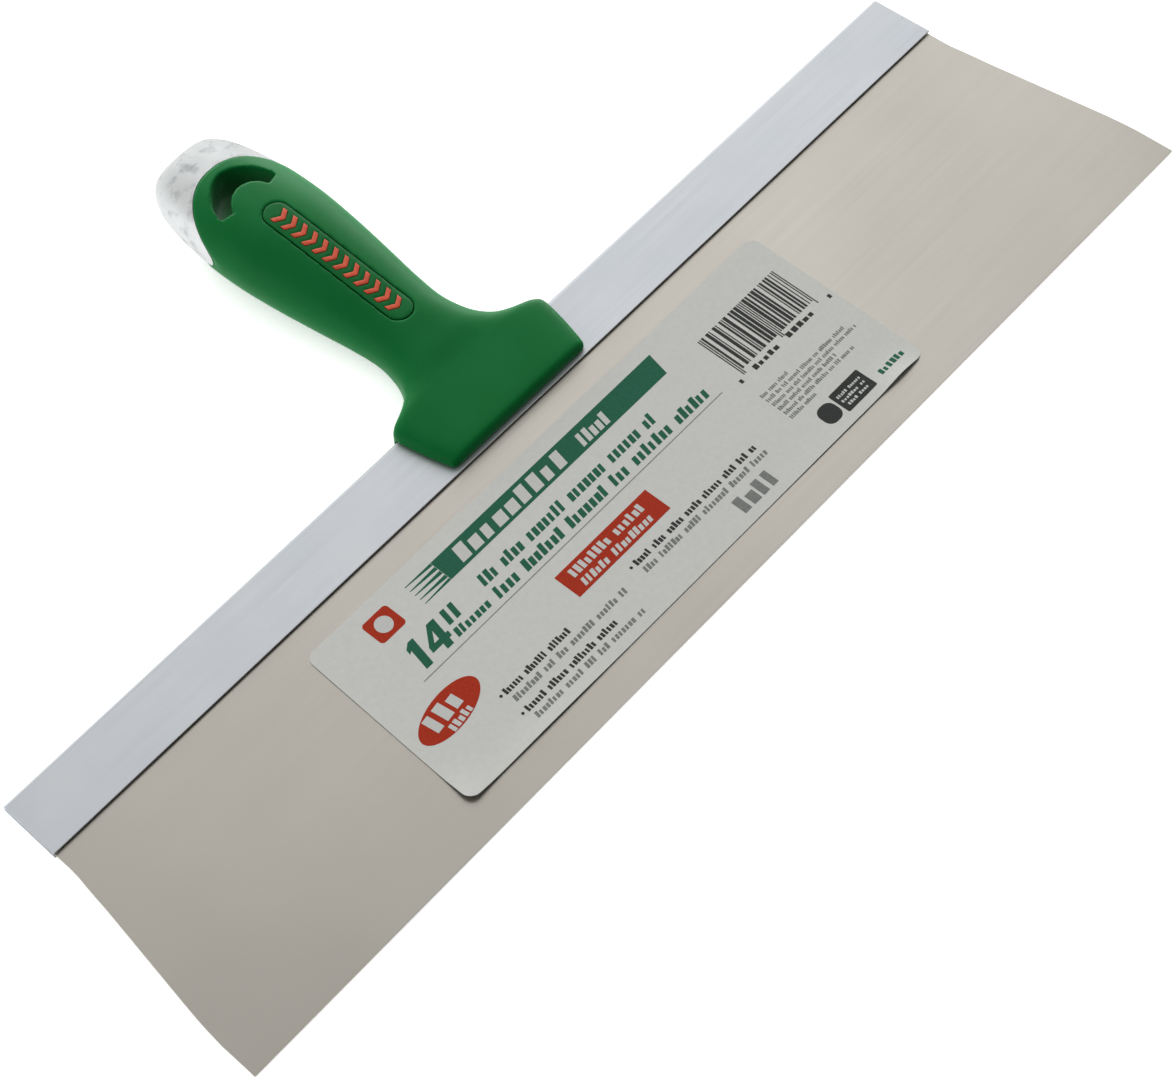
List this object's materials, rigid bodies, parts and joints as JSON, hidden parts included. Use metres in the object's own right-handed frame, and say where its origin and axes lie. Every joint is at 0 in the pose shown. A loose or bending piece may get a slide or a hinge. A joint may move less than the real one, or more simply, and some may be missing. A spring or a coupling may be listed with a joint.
{
  "type": "drywall taping knife",
  "caption": "Wide flat stainless taping knife with a folded aluminium backing strip, a soft green overmoulded grip, a crescent hang hole and a metal striking cap at the butt.",
  "frame": {"origin": "middle of the knife's length and width, on the level of the grip's lowest point as the knife lies on its back", "axes": "+X along the blade's width, +Y from the cutting edge to the striking cap, +Z out of the labelled face"},
  "size_m": [0.3556, 0.2022, 0.0223],
  "materials": {
    "stainless": "satin",
    "aluminium": "satin",
    "rivet_steel": "satin",
    "core_plastic": "matte",
    "grip_rubber": "satin",
    "cap_metal": "polished",
    "badge_red": "satin",
    "label_film": "satin"
  },
  "bodies": {
    "root": {"blade": "stainless", "backing_strip": "aluminium", "core_rivet_left": "rivet_steel", "core_rivet_centre": "rivet_steel", "core_rivet_right": "rivet_steel", "handle_core": "core_plastic", "soft_grip": "grip_rubber", "hammer_cap": "cap_metal", "cap_pin_left": "rivet_steel", "cap_pin_right": "rivet_steel", "badge_panel_front": "grip_rubber", "badge_panel_back": "grip_rubber", "badge_insert_front": "badge_red", "badge_insert_back": "badge_red", "blade_label": "label_film"}
  },
  "joints": []
}
